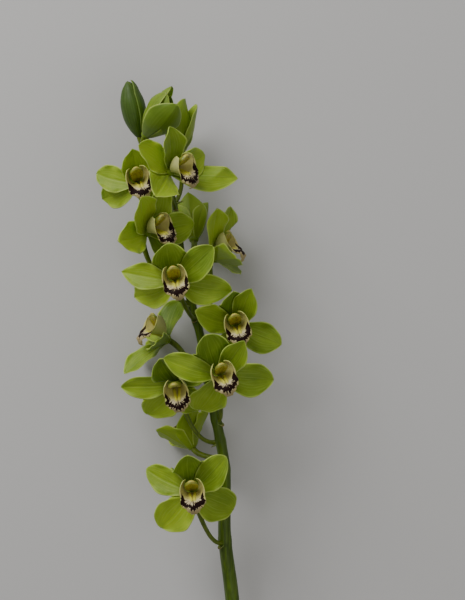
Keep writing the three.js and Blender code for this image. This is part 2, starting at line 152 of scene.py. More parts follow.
def linear(code):
    """An sRGB hex colour as linear red, green and blue, with alpha 1."""
    shares = np.array([int(code[i:i + 2], 16) for i in (1, 3, 5)]) / 255
    turned = np.where(shares <= 0.04045, shares / 12.92, ((shares + 0.055) / 1.055) ** 2.4)
    return (*turned.tolist(), 1.0)


def feed(tree, node, inputs):
    """Gives each input its value, or a link from a socket or from another node's first output in
    use. A key is the name of an input in use, or its number in the list."""
    for key, value in inputs.items():
        named = [socket for socket in node.inputs if socket.enabled and socket.name == key]
        socket = named[0] if named else node.inputs[key]
        if isinstance(value, bpy.types.Node):
            value = next(output for output in value.outputs if output.enabled)
        if isinstance(value, bpy.types.NodeSocket):
            tree.links.new(value, socket)
        else:
            socket.default_value = value


def add(tree, kind, inputs=None, **settings):
    """Adds one shader node to the tree, with its settings and then its inputs."""
    made = tree.nodes.new("ShaderNode" + kind)
    for key, value in settings.items():
        setattr(made, key, value)
    feed(tree, made, inputs or {})
    return made


def new_material(name, constants):
    """A material whose shader has these constant values. Returns it, its tree, its shader, and the
    places on it by name, which are the outputs of a Texture Coordinate node."""
    material = bpy.data.materials.new(name)
    material.use_nodes = True
    tree = material.node_tree
    shader = tree.nodes["Principled BSDF"]
    feed(tree, shader, constants)
    return material, tree, shader, add(tree, "TexCoord").outputs


def stained(tree, ground, colour, mask, start, full, most=1.0, **settings):
    """The ground, a node or a linear colour, stained with an sRGB colour: not at all where the mask
    is `start`, and by the share `most` where it is `full`."""
    share = add(tree, "MapRange", {"Value": mask, "From Min": start, "From Max": full,
                                   "To Max": most}, **settings)
    return add(tree, "Mix", {"Factor": share, "A": ground, "B": linear(colour)}, data_type="RGBA")


def waxy_cane(name, dark, light, bloom_of_wax):
    """Living stem tissue under a waxy skin, grown not made: long darker streaks 2 mm apart that
    follow the cane, soft mottling 15 mm wide, and a paler film of wax. It gives a soft gloss."""
    material, tree, shader, place = new_material(name, {
        "Roughness": 0.42, "IOR": 1.35, "Subsurface Weight": 0.08, "Subsurface Scale": 0.002,
        "Subsurface Radius": (0.5, 1.0, 0.2)})
    along = add(tree, "Mapping", {"Vector": place["Object"], "Scale": (500.0, 30.0, 500.0)})
    streaks = add(tree, "TexNoise", {"Vector": along, "Scale": 1.0, "Detail": 3.0})
    mottling = add(tree, "TexNoise", {"Vector": place["Object"], "Scale": 65.0, "Detail": 2.0})
    green = stained(tree, linear(dark), light, streaks, 0.35, 0.65)
    filmed = stained(tree, green, bloom_of_wax, mottling, 0.4, 0.8, 0.3)
    relief = add(tree, "Bump", {"Height": streaks, "Strength": 0.35, "Distance": 0.0004})
    feed(tree, shader, {"Base Color": filmed, "Normal": relief})
    return material


cane_green = waxy_cane("living_orchid_scape_waxy", "#384c09", "#50690f", "#63752c")
stalk_path = curve_through(STALK[:, :3], np.linspace(0, 1, 260))
swelling = sum(np.exp(-((stalk_path[:, 1] - y) / NODE_REACH)**2) for y in NODES)
stalk_radius = np.interp(stalk_path[:, 1], STALK[:, 1], STALK[:, 3])
stalk_radius = stalk_radius + NODE_SWELLING * np.minimum(swelling, 1)
stalk = limb(stalk_path, stalk_radius, 28, ribs=7, rib_share=0.018, twist=2.5)
make_piece("stalk", stalk, cane_green, ["stem"])


# --- Pedicels and ovaries ----------------------------------------------------------------------
# Each flower hangs on a stalklet of its own. Its upper half is the ovary, thicker and with three
# blunt ridges that wind half a turn, because a cymbidium turns its flowers upside down as they open.
# Grown from the scape at its node, and into the back of the flower.
CORE_DEPTH = 3.0  # half the depth of the knot that the tepals grow from
ROOTED = 0.6  # how far the ovary reaches into the knot
PEDICEL_RADIUS = 2.0
OVARY_RADIUS = 2.8
FOOT_FLARE = 0.9
NECK_REACH = 15.0
BLOOMS = {  # at: place in mm; face: degrees right and up; turn: of lip and column; node: y on the stalk
    # tepals: angle, pitch, length and width, then what isn't as in TEPAL_KINDS
    # a tepal's tone is painted light and shade: raised where the tepal lies in shadow or is darkened by
    # its own curve, lowered where it should look shaded
    "bloom_01": dict(at=(-39, 225, 82), face=(8, -3), turn=17, node=172, via=(-24, 200, 66), tepals=(
        (102, 41, 36, 28, dict(sharp=0.75, ahead=0.9, tone=0.9)),
        (167, -30, 42, 25, dict(sharp=0.35, sweep=0.12)), (52, 4, 40, 22),
        (207, -34, 41, 27, dict(sharp=0.8, sweep=0.05)), (-44, -8, 40, 26, dict(tone=0.6)))),
    "bloom_02": dict(at=(-8, 235, 102), face=(47, -2), turn=20, node=198, via=(-11, 220, 76), tepals=(
        (109, 22, 41, 31, dict(sharp=0.6, ahead=0.9, tone=0.35)),
        (151, 4, 43, 27, dict(sharp=0.1, tone=1.7)), (21, 4, 46, 27, dict(sharp=0.5, tone=0.6)),
        (216, 28, 42, 34, dict(twist=50, sharp=0.9, sweep=0)),
        (-5, 38, 63, 30, dict(sharp=0.85, sweep=0.12)))),
    "bloom_03": dict(at=(-29, 180, 92), face=(46, 2), turn=22, node=112, via=(-28, 152, 74), tepals=(
        (92, 36, 43, 33, dict(sharp=0.3, tone=0.7)), (138, 34, 47, 34, dict(twist=-20, tone=1.0)),
        (10, 20, 48, 30, dict(tone=0.5)), (192, 17, 44, 31, dict(sharp=0.7, tone=1.0)),
        (-30, -10, 42, 30))),
    "bloom_04": dict(at=(-4, 135, 100), face=(3, -4), turn=12, node=100, via=(2, 118, 80), tepals=(
        (102, 41, 42, 35, dict(sharp=0.15, tone=0.3)),
        (171, -12, 49, 25, dict(sharp=0.9, sweep=0.03, tone=0.85)),
        (43, 28, 48, 28, dict(sharp=0.35, sweep=0.14, tone=0.2)),
        (206, -30, 47, 30, dict(sharp=0.85, sweep=0.16)), (-9, 8, 49, 30, dict(sweep=0.24, tone=0.6)))),
    "bloom_05": dict(at=(-13, 81, 46.4), face=(-60, 26), turn=0, node=44, via=(4, 66, 46), tepals=(
        (110, 2, 44, 31, dict(twist=35)), (160, 6, 50, 24), (-30, 42, 46, 24), (202, 0, 50, 28),
        (-102, 32, 50, 28, dict(twist=-24)))),
    "bloom_06": dict(at=(36, 49, 104), face=(14, -6), turn=17, node=6, via=(37, 26, 74), tepals=(
        (112, 28, 44, 34, dict(sharp=0.0)), (162, 6, 52, 25, dict(sharp=0.45, sweep=0.1)),
        (64, 40, 44, 25), (253, -34, 46, 34, dict(sharp=0.2)), (-5, 6, 50, 32))),
    "bloom_07": dict(at=(-3, 40, 76), face=(2, -28), turn=12, node=-14, via=(5, 12, 55.5), tepals=(
        (112, 32, 43, 33, dict(sharp=0.6)), (189, -6, 51, 24, dict(sharp=0.6, sweep=0)),
        (28, -18, 38, 23), (234, -4, 45, 32, dict(sharp=0.3)), (-52, -4, 38, 28))),
    "bloom_08": dict(at=(11, -58, 86), face=(3, -7), turn=6, node=-108, via=(20, -87, 63), tepals=(
        (96, 37, 42, 35, dict(sharp=0.3, tone=0.12)), (157, -18, 46, 26, dict(sharp=0.35, sweep=0.13)),
        (49, 22, 46, 28, dict(sharp=0.3, sweep=0.15, tone=0.45)),
        (233, -8, 45, 35, dict(sharp=0.15, tone=1.0)),
        (-27, -12, 44, 35, dict(sharp=0.15, sweep=0.06)))),
    "bloom_09": dict(at=(32, 157, 44.8), face=(66, 30), turn=0, node=98, via=(29, 132, 52), tepals=(
        (64, 45, 52, 31, dict(tone=0.5)), (120, 41, 50, 30, dict(twist=-60, tone=1.0)), (22, 6, 46, 24),
        (210, 49, 49, 31, dict(tone=1.6)), (-12, 6, 44, 29))),
    "bloom_10": dict(at=(51, 94, 80), face=(6, -8), turn=16, node=60, via=(44, 78, 58), tepals=(
        (98, 42, 41, 31), (157, 33, 46, 26), (73, 38, 44, 24), (250, -20, 34, 28), (-22, 8, 44, 30))),
    "bloom_11": dict(at=(10, -20, 33), face=(-118, 55), turn=0, node=-40, via=(30, -30, 40), tepals=(
        (112, 44, 40, 27, dict(tone=1.2)), (165, 48, 40, 22, dict(tone=1.2)),
        (62, 50, 40, 27, dict(tone=1.2)), (215, 38, 44, 28, dict(tone=1.2)),
        (-22, 54, 38, 28, dict(tone=1.2)))),
}
HALF_OPEN = {  # bend: degrees that each tepal curls inwards along its length
    # tone is painted light and shade here too: low where a tepal should look shaded in a gap, high
    # where it lies in shadow
    "half_open_bloom_1": dict(at=(-32, 271, 64), face=(54, 46), node=240, via=(-24, 252, 57), bend=56,
        tepals=((114, 58, 57, 34, dict(tone=0.5, sharp=0.2)),
                (167, 54, 52, 34, dict(tone=0.5, sharp=0.2)), (45, 54, 46, 28),
                (234, 45, 55, 34, dict(tone=0.15, sharp=0.5)), (-60, 42, 40, 28, dict(tone=1.6)))),
    "half_open_bloom_2": dict(at=(0, 256, 50), face=(-166, 66), node=208, via=(1, 228, 54), bend=30,
        tepals=((84, 58, 34, 26, dict(tone=0.0)),
                (118, 62, 53, 30, dict(tone=0.9, twist=30, sharp=0.1)),
                (20, 72, 38, 22, dict(tone=0.6)),
                (160, 57, 52, 28, dict(tone=1.6, twist=45, sharp=0.3)),
                (-105, 58, 44, 26, dict(tone=0.9)))),
    "half_open_bloom_3": dict(at=(12, 175, 33.9), face=(-172, 60), node=142, via=(9, 160, 49), bend=24,
        tepals=((75, 60, 46, 30, dict(tone=1.3)), (20, 56, 40, 24, dict(tone=1.3)), (215, 62, 44, 22),
                (275, 54, 46, 27), (150, 58, 40, 27, dict(tone=0.9)))),
}
CLOSED_BUD = dict(at=(-39, 273, 56), face=(-56, 76), node=246, via=(-30, 256, 55))


def smooth(low, high, x):
    """0 below low, 1 above high, and a smooth step 3t^2 - 2t^3 between them."""
    t = np.clip((x - low) / (high - low), 0, 1)
    return t * t * (3 - 2 * t)


def pose_of(flower):
    """A flower's own axes as columns: right, up and the way it faces, from its face's two angles."""
    right_turn, rise = np.radians(flower["face"])
    facing = np.array((np.sin(right_turn) * np.cos(rise), np.sin(rise),
                       np.cos(right_turn) * np.cos(rise)))
    right = unit(np.cross((0.0, 1.0, 0.0), facing))
    return np.stack([right, np.cross(facing, right), facing], 1)


def stalk_at(y):
    """The point of the stalk's middle line at this y."""
    return np.array([np.interp(y, stalk_path[:, 1], stalk_path[:, k]) for k in range(3)])


def pedicel_path(flower, t):
    """A cubic Bezier from the stalk to the flower's back. The first handle is worked out so that
    the curve is at `via` halfway, and the second lies NECK_REACH behind the flower."""
    facing = pose_of(flower)[:, 2]
    root = stalk_at(flower["node"])
    end = np.array(flower["at"]) - (CORE_DEPTH - ROOTED) * facing
    neck = end - NECK_REACH * facing
    bow = (8 * np.array(flower["via"]) - root - end - 3 * neck) / 3
    t = t[:, None]
    return (1 - t)**3 * root + 3 * (1 - t)**2 * t * bow + 3 * (1 - t) * t**2 * neck + t**3 * end


every_flower = {**BLOOMS, **HALF_OPEN, "closed_bud": CLOSED_BUD}
pedicel_green = waxy_cane("living_orchid_pedicel_waxy", "#4a5a0c", "#647518", "#6f8030")
t = np.linspace(0, 1, 56)
pedicel_radius = mix(PEDICEL_RADIUS, OVARY_RADIUS, smooth(0.35, 0.85, t))
pedicel_radius = pedicel_radius + FOOT_FLARE * np.exp(-(t / 0.07)**2)
for name, flower in every_flower.items():
    pedicel = limb(pedicel_path(flower, t), pedicel_radius, 18, ribs=3, rib_share=0.05, twist=3.0)
    make_piece(f"{name}_pedicel", pedicel, pedicel_green, ["stem"])


# --- Sepals and petals -------------------------------------------------------------------------
# Three sepals behind and two petals in front, all alike in colour, so growers call them tepals:
# fleshy blades 1 mm thick with a keel behind, a groove in front, and a thin, pale, waved margin.
# They grow from a knot on top of the ovary. What lies on the table bends along it.
CLAW_SHARE = 0.26
WIDEST_AT = 0.56
TEPAL_START = 2.6
TEPAL_SINK = 1.2
CORE_RADIUS = 4.6
BLADE_THICKNESS = 1.0
KEEL_HEIGHT = 0.55
KEEL_REACH = 1.1
SLOW_WAVE = 0.9
OUTLINE_WAVE = 0.028  # share of the half width
OPEN_RUFFLE = 1.15
YOUNG_RUFFLE = 0.35
TUCK_GAP = 1.0
TUCK_REACH = 1.3
TEPAL_ROWS = 46
TEPAL_COLUMNS = 35
# tone is painted light and shade, with a random share added per tepal: darkest on the dorsal sepal,
# which leans over into its own shade, darker on the right-hand tepals, which face away from the light,
# and lighter on the left-hand ones
TEPAL_KINDS = (  # the dorsal sepal, the two petals and the two side sepals
    dict(curl=-12, cup=0.36, twist=0, sharp=0.45, sweep=0, ahead=0, tone=0.0),
    dict(curl=-8, cup=0.26, twist=8, sharp=0.6, sweep=0.1, ahead=0.5, tone=0.6),
    dict(curl=-8, cup=0.26, twist=-8, sharp=0.6, sweep=0.1, ahead=0.5, tone=0.35),
    dict(curl=-12, cup=0.3, twist=6, sharp=0.55, sweep=0.08, ahead=0, tone=0.65),
    dict(curl=-12, cup=0.3, twist=-6, sharp=0.55, sweep=0.08, ahead=0, tone=0.4))
HALF_OPEN_KIND = dict(cup=0.45, twist=0, sharp=0.65, sweep=0, ahead=0, tone=0.5)


def grid_normals(points):
    """Unit normals of a grid surface: the cross product of its differences along both ways."""
    return unit(np.cross(np.gradient(points, axis=1), np.gradient(points, axis=0)))


def round_margin(wide, rim):
    """Share of a blade's thickness at `rim` from its margin: the root of a smooth step, which is
    round like half a circle, over the outer `wide` millimetres."""
    return smooth(-0.05, wide, rim)**0.5


def both_sides(front, back):
    """A blade's values point by point: the whole grid in front, then the inner part of that behind."""
    inner = back[1:-1, 1:-1]
    return np.concatenate([front.reshape(-1, *front.shape[2:]), inner.reshape(-1, *back.shape[2:])])


def pillow(middle, half, uv, hand=1, **fields):
    """A thin closed blade as a shell: its middle surface, a grid, moved half a thickness along the
    normals times hand for its front, and against them for its back. Both share their border, where
    the thickness is 0. The field side goes from 1 in front to 0 behind."""
    half = half.copy()
    half[[0, -1]] = 0
    half[:, [0, -1]] = 0
    offset = hand * grid_normals(middle) * half[..., None]
    a = np.arange(half.size).reshape(half.shape)
    b = a.copy()
    inner = b[1:-1, 1:-1]
    inner[:] = half.size + np.arange(inner.size).reshape(inner.shape)
    front, back = (np.stack([g[:-1, :-1], g[:-1, 1:], g[1:, 1:], g[1:, :-1]], -1).reshape(-1, 4)
                   for g in (a, b))
    faces = np.concatenate([front, back[:, ::-1]])[:, ::hand].tolist()
    fields = {key: np.broadcast_to(value, half.shape) for key, value in fields.items()}
    fields = {key: both_sides(value, value) for key, value in fields.items()}
    side = both_sides(np.where(half > 0, 1.0, 0.5), np.zeros(half.shape))
    points = both_sides(middle + offset, middle - offset)
    return points, faces, both_sides(uv, uv), {"side": side, **fields}


def join(shells):
    """Several shells as one: what they hold end to end, with the faces counted on."""
    starts = np.cumsum([0] + [len(shell[0]) for shell in shells]).tolist()
    faces = [[start + i for i in face] for start, shell in zip(starts, shells) for face in shell[1]]
    points, uv = (np.concatenate([shell[k] for shell in shells]) for k in (0, 2))
    fields = {key: np.concatenate([shell[3][key] for shell in shells]) for key in shells[0][3]}
    return points, faces, uv, fields


def tepal_outline(u, lean, sharp):
    """Half width as a share of the widest: a quarter sine up from the claw, then 1 - t^a to the power
    b, from blunt (a 2.3, b 0.62) to pointed (1.5, 0.95). lean moves the widest place of each half."""
    widest = WIDEST_AT + lean
    rising = mix(CLAW_SHARE, 1, np.sin(np.clip(u / widest, 0, 1) * np.pi / 2))
    t = np.clip((u - widest) / (1 - widest), 0, 1)
    falling = (1 - t**mix(2.3, 1.5, sharp))**mix(0.62, 0.95, sharp)
    return np.where(u < widest, rising, falling)


def tepal_relief(u, v, half, draw, ruffle):
    """What a blade has besides its plain form, as heights: a keel, which is a bell across, a slow
    wave down it, and quick ones at the margins. Both are sines of u and v that start anywhere."""
    keel = -KEEL_HEIGHT * np.exp(-(half * v / KEEL_REACH)**2) * smooth(0, 0.1, u) * smooth(1, 0.8, u)
    slow = np.sin(2 * np.pi * (0.8 * u + draw.uniform()) + 1.4 * v)
    slow = SLOW_WAVE * slow * u * (1 - 0.5 * v**2)
    edge = smooth(0.62, 1, np.abs(v)) * smooth(0.12, 0.4, u) * smooth(1, 0.9, u)
    quick = ruffle * np.sin(2 * np.pi * (draw.uniform(2.0, 2.9) * u + draw.uniform()) + 2.2 * v)
    return keel, slow, edge * quick


def tepal_blade(row, kind, draw, ruffle):
    """One blade in its flower's axes. The midrib starts at `pitch` above the face and bends evenly
    by `curl`; across it the blade is a parabola of height cup, turned by twist towards the tip, and
    it bows away from the dorsal sepal and back, by sweep times its length times u^2, so that the
    tip lies at `angle`. Then come the keel and waves. Returns the middle surface, half its
    thickness, its uv and the way to its margin."""
    angle, pitch, length, width = row[:4]
    hand = np.sign(np.cos(np.radians(angle)))
    sweep = kind["sweep"] * length * hand
    angle = angle - hand * np.degrees(np.arctan(kind["sweep"]))
    angle, pitch, curl, twist = np.radians((angle, pitch, kind["curl"], kind["twist"]))
    u = np.linspace(0, 1, TEPAL_ROWS)[:, None]
    u = u + 0.06 * np.sin(2 * np.pi * u) / np.pi  # rows closer together at the claw and the tip
    v = np.linspace(-1, 1, TEPAL_COLUMNS)[None]
    v = v + 0.25 * np.sin(np.pi * v) / np.pi  # columns closer together at the margins
    out = np.array((np.cos(angle), np.sin(angle), 0))
    side = np.array((-np.sin(angle), np.cos(angle), 0))
    theta = (pitch + curl * u)[..., None]
    reach = TEPAL_START + length * (np.sin(theta) - np.sin(pitch)) / curl
    rise = -TEPAL_SINK - length * (np.cos(theta) - np.cos(pitch)) / curl
    rise = rise + (kind["ahead"] * smooth(0, 0.2, u))[..., None]
    normal = -np.sin(theta) * out + np.cos(theta) * UP
    turn = (twist * u)[..., None]
    across = side * np.cos(turn) + normal * np.sin(turn)
    lift = normal * np.cos(turn) - side * np.sin(turn)
    lean = draw.uniform(-0.025, 0.025) * np.sign(v)
    half = width / 2 * np.maximum(tepal_outline(u, lean, kind["sharp"]), 0.004)
    half = half * (1 + OUTLINE_WAVE * np.sin(draw.uniform(2.5, 4) * np.pi * u + draw.uniform(0, 6) * v))
    heights = kind["cup"] * half * v**2
    for height in tepal_relief(u, v, half, draw, ruffle):
        heights = heights + height
    sideways = half * v - sweep * u**2
    middle = reach * out + rise * UP - across * sideways[..., None] + lift * heights[..., None]
    rim = np.minimum(half * (1 - np.abs(v)), length * (1 - u) * 0.8)
    thickness = BLADE_THICKNESS * mix(0.55, 1, smooth(0, 5, rim)) * round_margin(0.7, rim)
    uv = stacked(v * 0.5 + 0.5, u)
    return middle, thickness / 2, uv, rim


def tuck_behind(back, front):
    """Where the front blade covers the back one, seen along the flower's facing, the back blade is
    pressed to at least TUCK_GAP behind it. The front's height there is the average of its points,
    weighted by a bell TUCK_REACH wide, and the push fades out beyond its outline."""
    flat = front.reshape(-1, 3)
    apart = back[..., None, :2] - flat[None, None, :, :2]
    weight = np.exp(-np.sum(apart**2, -1) / TUCK_REACH**2)
    total = weight.sum(-1)
    height = (weight * flat[:, 2]).sum(-1) / np.maximum(total, 1e-9)
    over = np.maximum(back[..., 2] - (height - TUCK_GAP), 0)
    back[..., 2] -= over * smooth(0.2, 1.2, total)


def knot():
    """The knot where the tepals meet: a turned body, CORE_RADIUS times the sine of the angle to the
    power 0.7 wide, which gives it a round shoulder, and 0.3 mm behind the flower's middle. Returns
    its rings and uv."""
    angle = np.linspace(0.04, np.pi - 0.04, 12)[:, None]
    phi = np.linspace(0, 2 * np.pi, 24, endpoint=False)[None]
    r = CORE_RADIUS * np.sin(angle)**0.7
    z = -CORE_DEPTH * np.cos(angle) - 0.3
    rings = stacked(r * np.cos(phi), r * np.sin(phi), z)
    uv = stacked(phi * 0 + 0.5, angle * 0 + 0.02)
    return rings, uv


def into_place(points, flower):
    """Points in a flower's own axes, in mm, to where the flower stands."""
    return np.asarray(points) @ pose_of(flower).T + np.array(flower["at"])


def press(points):
    """A blade's middle surface is kept about half its thickness above the table, by a soft maximum,
    half of x plus the root of x^2 + 0.6^2, so that what would sink in bends along it instead."""
    floor = BLADE_THICKNESS / 2 + 0.02
    over = points[..., 2] - floor
    points[..., 2] = floor + 0.5 * (over + np.sqrt(over**2 + 0.6**2)) - 0.15
    return points


def tepals_of(name, flower, kinds, material, ruffle, seed):
    """All five blades and the knot of one flower, as one piece with the fields side, rim and tone. The
    tone is painted light and shade, with a random share. A blade that is further ahead presses on
    those behind it."""
    draw = np.random.default_rng(seed)
    kinds = [{**kind, **(row[4] if len(row) > 4 else {})}
             for row, kind in zip(flower["tepals"], kinds)]
    blades = [tepal_blade(row, kind, draw, ruffle) for row, kind in zip(flower["tepals"], kinds)]
    for back, behind in zip(blades, kinds):
        for front, before in zip(blades, kinds):
            if before["ahead"] > behind["ahead"]:
                tuck_behind(back[0], front[0])
    shells = []
    for (middle, half, uv, rim), kind in zip(blades, kinds):
        # painted light and shade from the kind or row, plus a random share of tone
        tone = kind["tone"] + draw.uniform(-0.12, 0.12)
        shells.append(pillow(press(into_place(middle, flower)), half, uv, rim=rim, tone=tone))
    rings, uv = knot()
    shells.append(tube(into_place(rings, flower), uv, side=0.3, rim=4.0, tone=0.5))
    make_piece(f"{name}_sepals_and_petals", join(shells), material, [f"{name}_tepals"])


def petal_flesh(name, deep, light, margin, back, heart_and_shade, back_share):
    """Living orchid petal: thick watery cells under a fine satin skin. Veins 1.3 mm apart run from
    claw to tip, the margin pales over 1.5 mm, and light passes a little way into the flesh. Its
    skin's grain, 0.5 mm wide, shows only in the gloss."""
    material, tree, shader, place = new_material(name, {
        "Roughness": 0.5, "IOR": 1.38, "Subsurface Weight": 0.2, "Subsurface Scale": 0.003,
        "Subsurface Radius": (0.6, 1.0, 0.15), "Sheen Weight": 0.04, "Sheen Roughness": 0.5})
    fields = {key: add(tree, "Attribute", attribute_name=key).outputs["Fac"]
              for key in ("side", "rim", "tone")}
    split = add(tree, "SeparateXYZ", {"Vector": place["UV"]})
    cloud = add(tree, "TexNoise", {"Vector": place["Object"], "Scale": 55.0, "Detail": 3.0})
    # painted light and shade: the tone field, added to a random cloud, moves the flesh from the deep
    # towards the light green
    shade = add(tree, "Math", {0: cloud, 1: fields["tone"]}, operation="ADD")
    flesh = stained(tree, linear(deep), light, shade, 0.45, 1.5)
    stretched = add(tree, "Mapping", {"Vector": place["UV"], "Scale": (24.0, 1.6, 1.0)})
    veins = add(tree, "TexNoise", {"Vector": stretched, "Scale": 1.0, "Detail": 2.0},
                noise_dimensions="2D")
    veined = stained(tree, flesh, margin, veins, 0.5, 0.72, 0.2)
    # darker towards the claw: partly the tepal's own deeper green at its base, partly painted shade
    # round the flower's heart
    heart_shaded = stained(tree, veined, heart_and_shade, split.outputs["Y"], 0.3, 0.0, 0.6)
    backed = stained(tree, heart_shaded, back, fields["side"], 0.6, 0.0, back_share)
    rimmed = stained(tree, backed, margin, fields["rim"], 1.6, 0.1, 0.8,
                     interpolation_type="SMOOTHSTEP")
    grain = add(tree, "TexNoise", {"Vector": place["Object"], "Scale": 2200.0, "Detail": 1.0})
    both = add(tree, "Math", {0: veins, 1: grain}, operation="ADD")
    relief = add(tree, "Bump", {"Height": both, "Strength": 0.3, "Distance": 0.0003})
    feed(tree, shader, {"Base Color": rimmed, "Normal": relief})
    return material


open_flesh = petal_flesh("living_orchid_tepal_satin", deep="#577405", light="#98b020",
                         margin="#b4c85c", back="#78920f", heart_and_shade="#476203", back_share=0.6)
young_flesh = petal_flesh("living_orchid_young_tepal_satin", deep="#4a6a10", light="#8fa824",
                          margin="#a4b852", back="#667e14", heart_and_shade="#526c0c", back_share=0.45)
for seed, (name, flower) in enumerate(BLOOMS.items()):
    tepals_of(name, flower, TEPAL_KINDS, open_flesh, OPEN_RUFFLE, seed)
for seed, (name, flower) in enumerate(HALF_OPEN.items()):
    kinds = [{**HALF_OPEN_KIND, "curl": flower["bend"]}] * 5
    tepals_of(name, flower, kinds, young_flesh, YOUNG_RUFFLE, 40 + seed)


# --- Bracts and the cut face -------------------------------------------------------------------
# Under each pedicel's foot sits the bract that sheltered it in bud: a thin, pointed scale 6.5 mm long,
# dry and brown at its tip. At the foot of the stalk the knife has left a flat, moist, fibrous face.
BRACT_LENGTH = 6.5
BRACT_RADIUS = 3.1
BRACT_THICKNESS = 0.5
BRACT_WRAP = 1.15  # half the angle that it goes round, in radians
CUT_DEPTH = 0.12


def bract_of(flower):
    """The bract's middle surface: across it a part of a circle of BRACT_RADIUS round the pedicel, on
    the side towards the stalk's foot, and along it a straight line that leans out by 6 degrees. It
    narrows to its tip as the root of 1 - u^1.6. Returns it with half its thickness and its uv."""
    u = np.linspace(0, 1, 18)[:, None]
    v = np.linspace(-1, 1, 13)[None]
    start = pedicel_path(flower, np.array((0.0, 0.05)))
    tangent = unit(start[1] - start[0])
    stalk_way = unit(stalk_at(flower["node"] + 3) - stalk_at(flower["node"] - 3))
    below = unit(-stalk_way + tangent * np.dot(stalk_way, tangent))
    side = np.cross(tangent, below)
    stalk_thickness = np.interp(flower["node"], STALK[:, 1], STALK[:, 3])
    phi = BRACT_WRAP * v * np.sqrt(np.maximum(1 - u**1.6, 0.0004))
    radius = BRACT_RADIUS + BRACT_LENGTH * u * 0.1
    along = stalk_thickness * 0.75 + BRACT_LENGTH * u
    middle = (start[0] + along[..., None] * tangent + (radius * np.cos(phi))[..., None] * below
              + (radius * np.sin(phi))[..., None] * side)
    half = BRACT_THICKNESS / 2 * np.sqrt(smooth(1, 0.8, np.abs(v)) * smooth(1, 0.9, u))
    return middle, half, stacked(v * 0.5 + 0.5, u)


def dry_scale():
    """A bract: papery green tissue that has begun to dry from its tip, so that green turns to brown
    over the last third, with parallel veins 0.8 mm apart."""
    material, tree, shader, place = new_material("papery_bract_drying", {
        "Roughness": 0.6, "IOR": 1.38})
    split = add(tree, "SeparateXYZ", {"Vector": place["UV"]})
    stretched = add(tree, "Mapping", {"Vector": place["UV"], "Scale": (9.0, 0.8, 1.0)})
    veins = add(tree, "TexNoise", {"Vector": stretched, "Scale": 1.0, "Detail": 2.0},
                noise_dimensions="2D")
    green = add(tree, "Mix", {"Factor": veins, "A": linear("#5f7a2a"), "B": linear("#a3ad62")},
                data_type="RGBA")
    dry = stained(tree, green, "#8a6b45", split.outputs["Y"], 0.6, 0.95, 0.85)
    relief = add(tree, "Bump", {"Height": veins, "Strength": 0.4, "Distance": 0.0003})
    feed(tree, shader, {"Base Color": dry, "Normal": relief})
    return material


def cut_fibre():
    """The stalk's cut: pale juicy pith, dotted with darker bundles of vessels 1 mm apart. It is
    matter and rougher than the skin round it."""
    material, tree, shader, place = new_material("cut_orchid_scape_fibrous", {
        "Roughness": 0.7, "IOR": 1.36})
    bundles = add(tree, "TexVoronoi", {"Vector": place["Object"], "Scale": 900.0})
    pith = stained(tree, linear("#76803a"), "#c3c98c", bundles, 0.18, 0.36)
    relief = add(tree, "Bump", {"Height": bundles, "Strength": 0.4, "Distance": 0.0003})
    feed(tree, shader, {"Base Color": pith, "Normal": relief})
    return material


papery = dry_scale()
for name, flower in every_flower.items():
    make_piece(f"{name}_bract", pillow(*bract_of(flower)), papery, [])
foot_way = unit(stalk_path[0] - stalk_path[1])
foot = stalk_path[0] + CUT_DEPTH * np.array((1.0, 0.4, 0.0))[:, None] * foot_way
cut_face = limb(foot, stalk_radius[0] * np.array((0.93, 0.95, 0.95)), 40)
make_piece("stalk_cut_face", cut_face, cut_fibre(), [])


# --- Lips --------------------------------------------------------------------------------------
# The third petal of each open flower: a cream trough whose side lobes stand round the column, and
# whose crisped front lobe folds down and back, with a toothed maroon band inside its margin. Two
# yellow ridges, the calli, run down its middle. It is seated in front of the knot.
SEAT = CORE_DEPTH * 0.7 + 0.3  # where lip and column start, in front of the knot's middle
LIP_LENGTH = 38.0
LIP_TUBE = 10.8
LIP_DOME = 18.0
LIP_THICKNESS = 0.8
LIP_ROWS = 66
LIP_COLUMNS = 57
CALLUS_APART = 2.1
CALLUS_REACH = 0.95
CALLUS_HEIGHT = 2.3
CRISP_HEIGHT = 0.75
CRISP_TURNS = 7
SIDE_CURL = 0.3
BAND_LONG = 0.36  # the band's oval round the front lobe's root: share of the lip's length, ahead
BAND_WIDE = 12.3  # and mm to each side


def lip_heading(s):
    """The midline's turn from straight out, in radians: 4 degrees down at the root and 16 at 0.4 of
    the length, and from 0.47 the fold, a smooth step on towards 176."""
    return -np.radians(mix(mix(4, 16, smooth(0, 0.4, s)), 176, smooth(0.47, 1.06, s)))


def lip_reach(s):
    """Distance from the midline to the margin along the surface: 3 mm at the root, 25 at the side
    lobes, 12 at the notch and in the front lobe, 2.5 at the tip, with smooth steps between."""
    return 3 + 22 * smooth(0, 0.3, s) - 13 * smooth(0.4, 0.52, s) - 9.5 * smooth(0.54, 1, s)


def lip_marks(s, arc, number):
    """Where the pigment lies, as fields. `out` is the way out from the front lobe's root in an oval
    measure: the sum of both ways to the power 1.4, and its root. `way` is the direction, 0 ahead
    and 1 sideways. `band` is 0 at the maroon band's inner edge, which lies at 0.59 ahead and 0.78
    sideways, and 1 at its outer one. `run` is the place along the band in mm, 40 further on for
    each lip so that no two have the same teeth, `front` is 1 in the front lobe, and `streak` is a
    bell across the midline, from the calli to the band."""
    ahead = np.maximum(s - 0.5, 0) / BAND_LONG
    aside = np.abs(arc) / BAND_WIDE
    out = (ahead**1.4 + aside**1.4)**(1 / 1.4) - 3.5 * np.maximum(0.5 - s, 0)
    way = np.arctan2(aside, ahead + 1e-6) / (np.pi / 2)
    band = (out - mix(0.59, 0.78, smooth(0.1, 1, way))) / mix(0.29, 0.26, smooth(0, 1, way))
    streak = np.exp(-(arc / 0.55)**2) * smooth(0.5, 0.54, s) * smooth(0.68, 0.62, s)
    run = 13 * way * np.sign(arc) + 40 * number
    return dict(band=mix(-4, band, smooth(0.41, 0.45, s)), run=run, front=smooth(0.44, 0.54, s),
                streak=streak)


